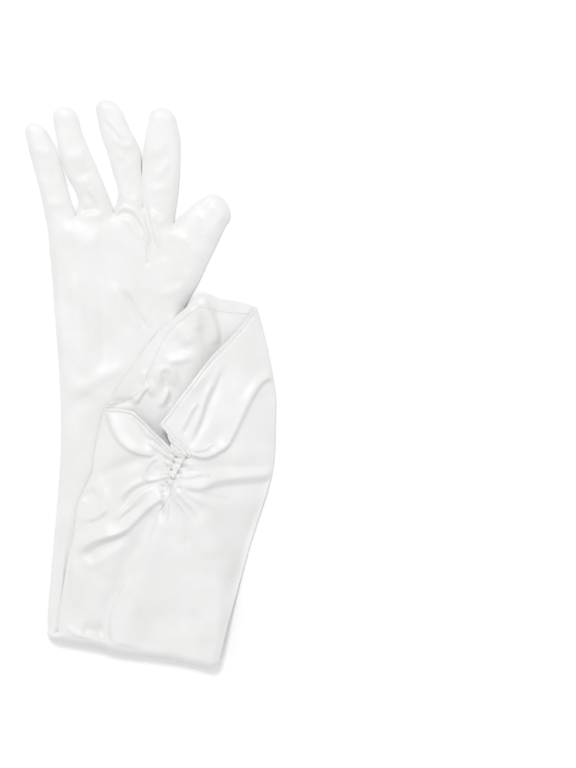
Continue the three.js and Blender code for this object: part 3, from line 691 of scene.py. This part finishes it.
def back_heights(plan):
    """Heights of the back of the hand with its seams and folds."""
    shown = ease((plan[..., 1] - hidden_below) / HIDDEN_RUN + 1)
    shown = np.maximum(shown, ease((strip_right - plan[..., 0]) / STRIP_RUN))
    relief = fold_relief(plan, HAND_FOLDS) + ripple(plan, *HAND_WAVES)
    return hand_heights(plan, 1) + relief * shown * slope_up(nearest(plan, outline)[0], FINGER_EDGE)


INNER_BEND_STEPS = 8
back_rows = np.concatenate([
    with_heights(arm_rows, back_heights(arm_rows)),
    bend_rows(-1, back_shares, INNER_BEND_STEPS)[1:-1],
    with_heights(rear_plan, rear_tops),
])
back_parts = [cloth_grid("back_cloth", back_rows[:, ::-1])]
for finger, plan in zip(FINGERS, finger_plans):
    back_parts.append(cloth_grid(finger["name"], with_heights(plan, back_heights(plan))))
back_cloth = sew("back_cloth", back_parts)
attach(back_cloth, "root")
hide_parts("back_panel")

# Palm of the glove
# The palm's panel of satin lies under the fingers, the hand and the forearm, flat on the table.
# It meets the back in the side seams and runs on round the fold into the ruched front.
PALM_STEPS = [4, 6, 6, 6, 6, 6, 6, 6, 6, 6, 6, 4]
palm_arm = arm_plan(PALM_STEPS)
palm_arm[-1] = fold_place(back_shares)
palm_parts = [cloth_grid("palm_cloth", with_heights(palm_arm, hand_heights(palm_arm, -1)))]
for finger, plan in zip(FINGERS, finger_plans):
    palm_parts.append(cloth_grid(finger["name"], with_heights(plan, hand_heights(plan, -1))[:, ::-1]))
palm_cloth = sew("palm_cloth", palm_parts)
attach(palm_cloth, "root")
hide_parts("palm_panel")

# Ruched front of the sleeve
# The palm's satin turns round the outside of the fold and covers the sleeve. A thread sewn through
# it below the mouth is drawn tight, which slits the mouth and throws folds to all sides.

# Edge of the mouth at the front in the photo: share of the columns, across, down.
FRONT_MOUTH = [
    (0, 105, 408), (0.08, 120, 409), (0.16, 134, 411.5), (0.22, 145, 421), (0.26, 152, 428.5),
    (0.3, 160, 436.5), (0.335, 169, 445), (0.36, 178, 453), (0.375, 189, 456), (0.39, 186, 450.5),
    (0.405, 179, 443.5), (0.42, 173, 439.5), (0.435, 168, 432), (0.45, 161.5, 424), (0.5, 170, 413.5),
    (0.55, 178, 402.5), (0.6, 186, 392), (0.66, 194.5, 381), (0.72, 205, 366.5), (0.78, 213.5, 356),
    (0.85, 227, 343), (0.92, 240, 329), (0.97, 250, 315), (1, 256.5, 307),
]
# Folds of the ruched front, written like the hand's.
SLEEVE_FOLDS = [
    # the flap between the mouth's right part and the gather
    (3.0, 5, 1.3, [(186, 450), (190, 452.5), (197, 455), (204, 456.5), (212, 455), (219, 451), (227, 446),
        (232, 438), (238, 426), (244, 413), (250, 401), (257, 389), (263, 381), (269, 378), (276, 383),
        (284, 389)], 0.08, 0.05),
    (-1.0, 0.8, 0.8, [(190, 451), (200, 452.5), (208, 451), (216, 448.5)]),
    (0.8, 0.8, 0.8, [(191, 448), (200, 449.3), (207, 447.5), (212, 444.5), (217, 447)]),
    (-1.9, 2.0, 3.0, [(196, 448), (195, 440), (198, 432), (204, 420), (209, 405), (216, 390), (223, 374),
        (229, 361)]),
    (1.4, 2.5, 1.5, [(190, 443), (194, 436), (200, 421), (204, 408), (209, 393), (218, 375)]),
    (0.8, 0.9, 1.0, [(181, 432), (186, 422), (192, 411), (199, 401)]),
    (-0.9, 1.1, 1.5, [(183, 437), (190, 425), (196, 413), (202, 402)]),
    (1.0, 8, 8, [(212, 442), (230, 410), (246, 375), (255, 345)]),
    (0.8, 3, 3, [(172, 418), (186, 398), (200, 382), (216, 368)]),
    # the left of the gather
    (2.2, 5, 1.5, [(106, 406), (110, 417), (115, 430), (122, 441), (132, 449), (143, 453), (153, 454.5),
        (158, 456)], 0.05, 0.1),
    (-1.6, 4, 4, [(98, 484), (108, 474), (120, 467), (135, 461), (152, 458)]),
    (-1.2, 2, 2.5, [(134, 413), (138, 424), (146, 436), (156, 446)]),
    (0.9, 0.8, 1.2, [(133, 411), (145, 420.5), (153, 428), (161, 437), (169, 446), (177, 452)]),
    (-0.8, 0.6, 0.6, [(148, 428), (157, 437), (166, 447), (175, 454)]),
    (0.9, 0.8, 0.9, [(146, 431), (154, 437), (162, 444), (170, 450), (178, 456)]),
    (-0.8, 0.6, 0.6, [(150, 436), (158, 443), (166, 449.5), (174, 455)]),
    (1.1, 0.9, 1.1, [(143, 438), (150, 442), (158, 448), (166, 453), (175, 458), (183, 462), (190, 464.5),
        (198, 461)]),
    (1.3, 1.5, 1.0, [(160, 456), (152, 461), (147, 468), (145.5, 475), (149, 479.5), (156, 479),
        (163, 477), (171, 475.5)], 0.1, 0.1),
    (-0.6, 2, 2, [(155, 466), (160, 470), (166, 472)]),
    # the right of the gather
    (1.2, 0.9, 1.4, [(172, 476), (182, 476), (192, 475), (202, 473), (208, 473.5), (209, 478)], 0.1, 0.1),
    (2.2, 6, 2.2, [(174, 482), (186, 484.5), (197, 487), (205, 486), (212, 481.5), (222, 479), (240, 477),
        (258, 475.5), (286, 473.5)], 0.1, 0.02),
    (-1.4, 2, 7, [(200, 491), (215, 489), (230, 486), (250, 484.5), (286, 482)], 0.15, 0.02),
    (-0.7, 3, 3, [(196, 468), (215, 466), (240, 468), (286, 468)], 0.2, 0.02),
    (0.8, 5, 5, [(225, 458), (245, 455), (286, 451)], 0.2, 0.02),
    (-1.7, 1.1, 1.0, [(170, 483), (171, 490), (174, 499), (180, 508), (189, 520)], 0.05, 0.4),
    (1.5, 1.4, 1.3, [(175, 484), (179, 492), (186, 500), (194, 508), (200, 520)], 0.05, 0.5),
    (1.6, 2.5, 3, [(178, 487), (190, 493), (202, 499), (215, 507), (228, 521)], 0.1, 0.5),
    (-0.9, 1.5, 2, [(184, 489), (200, 493), (215, 497), (236, 501)]),
    (-1.1, 0.8, 0.8, [(162, 499), (164.5, 508), (166, 518)]),
    (0.9, 0.8, 0.9, [(169.5, 497), (168.5, 509), (167, 523)]),
    # below the gather, to the left
    (2.8, 1.9, 6, [(167, 496), (160, 499), (152, 504.5), (144, 512), (136, 520), (128, 527.5), (119, 532),
        (107, 535), (96, 538), (88, 543), (82, 550), (80, 558)], 0.05, 0.15),
    (1.4, 6, 2, [(136, 526), (124, 532), (108, 537), (94, 543), (86, 551)]),
    (-2.0, 4.5, 2, [(133, 529), (120, 537), (106, 543), (95, 549), (86, 557)], 0.2, 0.1),
    (0.7, 3, 3, [(80, 560), (92, 563), (106, 557), (118, 549), (128, 540)]),
    (-1.5, 1.8, 2.2, [(160, 481.5), (150, 483), (140, 487), (133, 493), (128, 501), (123, 510)]),
    (1.6, 2.5, 1.5, [(157, 487), (146, 491), (137, 498), (129, 506), (121, 514), (112, 519)]),
    (-0.9, 1.5, 1.5, [(152, 497), (142, 504), (132, 511), (120, 520)]),
    (1.2, 1.5, 2.5, [(156, 479), (144, 482), (134, 486), (126, 492), (118, 500)]),
    (-0.9, 0.9, 1.2, [(88, 523), (98, 520.5), (104, 517), (109, 512)]),
    (0.8, 2, 1, [(80, 519), (93, 518), (103, 513), (112, 507)]),
    (-1.4, 3, 3, [(83, 498), (90, 494), (97, 489)]),
    (1.0, 2.8, 2.8, [(103, 484), (106, 498), (103, 514)]),
    # the long pleat down to the fold
    (-2.8, 2.2, 7, [(160, 506), (152, 525), (143, 540), (133, 556), (126, 574), (119, 590), (112, 603),
        (108.5, 616), (108, 628), (110, 645)], 0.1, 0.02),
    (-0.9, 1.5, 2, [(158, 520), (149, 540), (140, 556), (132, 574), (125, 592)]),
    (1.8, 9, 4, [(163, 510), (158, 530), (153, 548), (145, 568), (139, 588), (132, 608), (126, 625),
        (121, 648)], 0.1, 0.02),
    (-1.6, 3.5, 4, [(82, 627), (95, 629), (107, 630)]),
    (1.0, 2, 2, [(66, 622), (76, 631), (92, 637), (106, 639.5)]),
    (-1.2, 8, 9, [(145, 616), (178, 620), (208, 622)]),
    (-0.9, 2.5, 2, [(184, 512), (188, 524), (189, 548)]),
    (1.1, 8, 6, [(196, 512), (208, 530), (214, 560)]),
    (-0.6, 1.2, 1.2, [(77, 500), (73, 530), (70, 560), (67, 604)]),
    (0.7, 1.6, 1.2, [(80, 506), (76, 534), (74, 566), (72, 600)]),
    (-1.4, 5, 5, [(266, 492), (254, 528), (240, 566), (226, 608)]),
]

# The gather: a thread drawn tight across the cloth throws small puckers and pits to both sides
# of it. Each is a short line in the photo: across, down, across, down, rise and width.
PUCKERS = [
    (174, 455, 181, 458, -2.6, 0.8), (173.5, 459, 177, 464, -2.6, 0.75), (171.5, 467, 174, 471, -2.6, 0.75),
    (176, 470.5, 184, 473, -1.8, 0.7), (170, 476, 176, 479.5, -2.2, 0.7), (167, 480, 170, 484, -1.6, 0.6),
    (183, 455, 190, 458, -2.2, 0.7), (164, 455, 171, 461, -1.3, 0.7), (167, 464, 171, 468, -1.4, 0.6),
    (180, 464, 187, 467.5, -1.3, 0.6), (178, 476, 186, 477.5, -0.8, 0.6), (186, 469, 196, 470, -0.7, 0.7),
    (176, 455.5, 184, 460.5, 1.2, 0.6), (180, 460, 190, 464.5, 1.1, 0.7), (177, 464.5, 183, 469.5, 1.0, 0.6),
    (169, 461, 174, 466, 1.0, 0.6), (174, 473, 182, 474.5, 1.0, 0.6), (166, 470, 171, 474, 0.9, 0.6),
    (164, 459, 169, 464, 0.8, 0.6), (184, 457, 188, 461.5, 1.0, 0.6), (160, 473.5, 168, 474.5, -0.9, 0.6),
    (161, 483.5, 168, 487, -0.9, 0.6), (160.5, 488.5, 167, 489.5, 0.6, 0.5),
    (160.5, 491, 167, 491.5, -0.7, 0.5), (160.5, 493, 167, 493.8, 0.6, 0.5),
    (161, 495.5, 167, 496, -0.7, 0.5), (174, 487, 184, 486, -0.7, 0.7),
    (167.5, 449.5, 174, 455, -1.0, 0.5), (170, 448, 176, 453, 0.8, 0.5), (165, 452, 171, 457.5, 0.8, 0.5),
]
PUCKER_SAG, PUCKER_FADE = 0.4, 0.45
for left, top, right, bottom, rise, width in PUCKERS:
    line = [(left, top), ((left + right) / 2, (top + bottom) / 2 + PUCKER_SAG), (right, bottom)]
    SLEEVE_FOLDS.append((rise, width, width, line, PUCKER_FADE, PUCKER_FADE))
# the dip along the thread
GATHER_LINE = [(186, 455.5), (178, 459), (174, 466), (172, 474), (169, 484), (166.5, 496)]
SLEEVE_FOLDS.append((-1.6, 3.5, 3.5, GATHER_LINE, 0.1, 0.2))
SLEEVE_WAVES = (26 * MM, 0.3 * MM)
# The hem's bead and groove: from the mouth's edge, height and width
HEM_BEAD = (0.9 * MM, 0.35 * MM, 0.6 * MM)
HEM_GROOVE = (2.0 * MM, -0.6 * MM, 0.5 * MM)
SIDE_RUN = 2.5 * HAND_EDGE  # how much further in than a finger's the sleeve's sides still rise
SLEEVE_COLUMNS, SLEEVE_ROWS = 204, 210
OUTER_BEND_STEPS = 16
# Columns and rows stand closer at the gather: where it is, how much closer, and over what spread
COLUMN_CROWD = (0.38, 1.6, 0.12)
ROW_CROWD = (0.8, 1.4, 0.22)
EVEN_SHARES = np.linspace(0, 1, 400)


def crowded(count, middle, gain, spread):
    """Shares for count steps, closer together around a middle."""
    crowding = np.cumsum(1 + gain * np.exp(-(((EVEN_SHARES - middle) / spread) ** 2)))
    return np.interp(np.linspace(crowding[0], crowding[-1], count + 1), crowding, EVEN_SHARES)


front_shares = crowded(SLEEVE_COLUMNS, *COLUMN_CROWD)
front_rises = crowded(SLEEVE_ROWS, *ROW_CROWD)
front_plan = sleeve_plan(FRONT_MOUTH, front_shares, front_rises)
front_sides = np.minimum(nearest(front_plan, front_plan[:, 0])[0], nearest(front_plan, front_plan[:, -1])[0])
half_depth = HAND_MIDDLE + (MOUTH_HALF - HAND_MIDDLE) * np.sin(front_rises * math.pi / 2)[:, None] ** 2
front_floor = sleeve_floor(front_plan)
settled = ease(front_rises / SLEEVE_SETTLE)[:, None]
front_seam = front_floor + HAND_MIDDLE + (SEAM_HEIGHT - HAND_MIDDLE) * settled
side_reach = FINGER_EDGE + SIDE_RUN * ease(2 * front_rises)[:, None]
side_rise = slope_up(front_sides, side_reach)
side_rise = (side_rise + ease(front_sides / side_reach)) / 2
from_mouth = nearest(front_plan, front_plan[-1])[0]
front_relief = (
    fold_relief(front_plan, SLEEVE_FOLDS)
    + ripple(front_plan, *SLEEVE_WAVES) * ease(4 * front_rises)[:, None]
)
for place, height, width in (HEM_BEAD, HEM_GROOVE):
    front_relief = front_relief + height * np.exp(-(((from_mouth - place) / width) ** 2))
front_tops = (
    front_seam
    + (front_floor + 2 * half_depth - front_seam) * side_rise
    + front_relief * slope_up(front_sides, FINGER_EDGE)
)
front_tops = np.maximum(front_tops, front_floor + CLOTH)
front_rows = np.concatenate([
    bend_rows(1, front_shares, OUTER_BEND_STEPS)[:-1],
    with_heights(front_plan, front_tops),
])
sleeve_front = sew("sleeve_front", [cloth_grid("sleeve_front", front_rows)])
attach(sleeve_front, "root")
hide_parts("palm_panel")

# Thumb
# The thumb is its own piece of satin, a wide pointed tube set in the side of the hand and sewn
# round its root.
thumb_cloth = sew("thumb_cloth", [
    cloth_grid("thumb_top", with_heights(thumb_rows, back_heights(thumb_rows))),
    cloth_grid("thumb_bottom", with_heights(thumb_rows, hand_heights(thumb_rows, -1))[:, ::-1]),
])
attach(thumb_cloth, "root")
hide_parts("thumb")

# Strips between the fingers
# A narrow strip of satin is sewn in along each pair of neighbouring fingers, from one side round
# the crotch to the other, and gives the fingers their depth.
STRIP_TUCK = 0.4 * MM  # how far its middle lies tucked in between the fingers
STRIP_LEAST = 0.05 * MM  # the strip ends where it gets lower than this
STRIP_COLUMNS = np.linspace(-1, 1, 7)
for name, first, second in (("little_ring", 0, 1), ("ring_middle", 1, 2), ("middle_first", 2, 3)):
    down, up = finger_plans[first][::-1, -1], finger_plans[second][:, 0]
    lift = np.concatenate([gap_lift(len(down))[::-1], gap_lift(len(up))[1:]])
    path = np.concatenate([down, up[1:]])
    kept = lift > STRIP_LEAST
    path, lift = path[kept], lift[kept]
    way = np.gradient(path, axis=0)
    way /= np.linalg.norm(way, axis=1)[:, None]
    outward = np.stack([-way[:, 1], way[:, 0]], axis=1)
    tuck = STRIP_TUCK * (1 - STRIP_COLUMNS**2) * (lift / STRIP_HALF)[:, None]
    strip_rows = with_heights(
        path[:, None] - outward[:, None] * tuck[:, :, None], SEAM_HEIGHT + lift[:, None] * STRIP_COLUMNS
    )
    strip = sew(name + "_strip", [cloth_grid(name, strip_rows)])
    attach(strip, "root")
    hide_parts(name + "_fourchette")

# Rear hem
# The rear's cloth is turned in once along the mouth and stitched down. It is a flat band on the
# inside, seen in the mouth past the front's edge.

# Its inner edge in the photo: share of the columns, across, down.
REAR_HEM_INNER = [
    (0, 110, 406), (0.07, 120, 402), (0.14, 132, 398), (0.22, 143, 389), (0.3, 147, 376),
    (0.39, 153, 363), (0.47, 160, 347), (0.55, 167, 334), (0.63, 180, 322), (0.7, 190, 314),
    (0.76, 200, 307), (0.8, 206, 308), (0.86, 217, 311), (0.93, 236, 313), (1, 251, 314),
]
REAR_HEM_ROWS, REAR_HEM_COLUMNS = 13, 150
HEM_FOLD = 0.35 * MM  # how thick the turned-in cloth looks
hem_shares = np.linspace(0.03, 0.985, REAR_HEM_COLUMNS)
outer, inner = mouth_line(REAR_MOUTH, hem_shares), mouth_line(REAR_HEM_INNER, hem_shares)
rear_hem_plan = inner + (outer - inner) * np.linspace(0, 1, REAR_HEM_ROWS)[:, None, None]
rear_hem_tops = rear_heights(rear_hem_plan, np.ones(REAR_HEM_ROWS)) + CLOTH + HEM_FOLD
rear_hem_rows = with_heights(rear_hem_plan, rear_hem_tops)
rear_hem = sew("rear_hem_cloth", [cloth_grid("rear_hem_cloth", rear_hem_rows)], HEM_FOLD)
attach(rear_hem, "root")
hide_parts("rear_hem")

# Front hem
# The ruched front's cloth is turned under along the mouth and stitched down. It lies under the
# front's edge, and only the turned edge shows as a second fine line.
FRONT_HEM_ROWS = 26  # so many of the front's last rows
FRONT_HEM_ENDS = (6, 6)  # columns of the front that it stops short of each side
HEM_PEEK = 0.5 * MM  # how far the turned edge shows past the front's
front_hem_rows = front_rows[-FRONT_HEM_ROWS:, FRONT_HEM_ENDS[0] : -FRONT_HEM_ENDS[1]].copy()
front_hem_rows[..., 2] = np.maximum(front_hem_rows[..., 2] - CLOTH - HEM_FOLD, HEM_FOLD)
edge_way = np.gradient(front_hem_rows[-1, :, :2], axis=0)
edge_way /= np.linalg.norm(edge_way, axis=1)[:, None]
edge_out = np.stack([-edge_way[:, 1], edge_way[:, 0]], axis=1)
front_hem_rows[-1, :, :2] += edge_out * HEM_PEEK
front_hem = sew("front_hem_cloth", [cloth_grid("front_hem_cloth", front_hem_rows)], HEM_FOLD)
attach(front_hem, "root")
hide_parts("front_hem")

# Stitches
# Short stitches of spun white thread hold both hems. They follow the front's groove and the
# rear hem's inner edge, one every 2 mm, and sink a little into the cloth.
STITCH_PITCH = 2.1 * MM
STITCH_SIZE = (0.6 * MM, 0.13 * MM, 0.09 * MM)  # half its length, width and height
GROOVE_ROW, INNER_ROW = -8, 2  # the rows of the front and of the rear hem that they follow
STITCH_PATHS = {
    "front_stitches": front_rows[GROOVE_ROW, 8:-6],
    "rear_stitches": rear_hem_rows[INNER_ROW, 2:-2],
}
TWIST_SCALE = 2500

thread = bpy.data.materials.new("stitching_thread")
thread.use_nodes = True
thread_nodes, thread_links = thread.node_tree.nodes, thread.node_tree.links
thread_finish = thread_nodes["Principled BSDF"]
thread_finish.inputs["Roughness"].default_value = 0.6
thread_finish.inputs["Sheen Weight"].default_value = 0.3
thread_place = thread_nodes.new("ShaderNodeTexCoord")
twist = thread_nodes.new("ShaderNodeTexNoise")
twist.inputs["Scale"].default_value = TWIST_SCALE
thread_links.new(thread_place.outputs["Object"], twist.inputs["Vector"])
thread_tone = thread_nodes.new("ShaderNodeMix")
thread_tone.data_type = "RGBA"
thread_tone.inputs["A"].default_value = (0.72, 0.72, 0.71, 1)
thread_tone.inputs["B"].default_value = (0.84, 0.84, 0.83, 1)
thread_links.new(twist.outputs["Fac"], thread_tone.inputs["Factor"])
thread_links.new(thread_tone.outputs["Result"], thread_finish.inputs["Base Color"])

bpy.ops.mesh.primitive_uv_sphere_add(segments=6, ring_count=4, radius=1)
stitch_shape = bpy.context.object
stitch_shape.name = "stitch_shape"
for name, path in STITCH_PATHS.items():
    lengths = running_length(path)
    bpy.ops.object.select_all(action="DESELECT")
    for start in np.arange(STITCH_PITCH, lengths[-1] - STITCH_PITCH, STITCH_PITCH):
        ends = [
            Vector([np.interp(at, lengths, path[:, axis]) for axis in range(3)])
            for at in (start, start + STITCH_PITCH / 2)
        ]
        way = ends[1] - ends[0]
        stitch = bpy.data.objects.new(name, stitch_shape.data.copy())
        bpy.context.collection.objects.link(stitch)
        stitch.location = (ends[0] + ends[1]) / 2
        stitch.rotation_euler = (0, -math.atan2(way.z, way.xy.length), math.atan2(way.y, way.x))
        stitch.scale = STITCH_SIZE
        stitch.select_set(True)
    bpy.context.view_layer.objects.active = stitch
    bpy.ops.object.join()
    bpy.ops.object.transform_apply(location=True, rotation=True, scale=True)
    bpy.ops.object.shade_smooth()
    stitches = bpy.context.object
    stitches.name = name
    stitches.data.materials.append(thread)
    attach(stitches, "root")
bpy.data.objects.remove(stitch_shape)
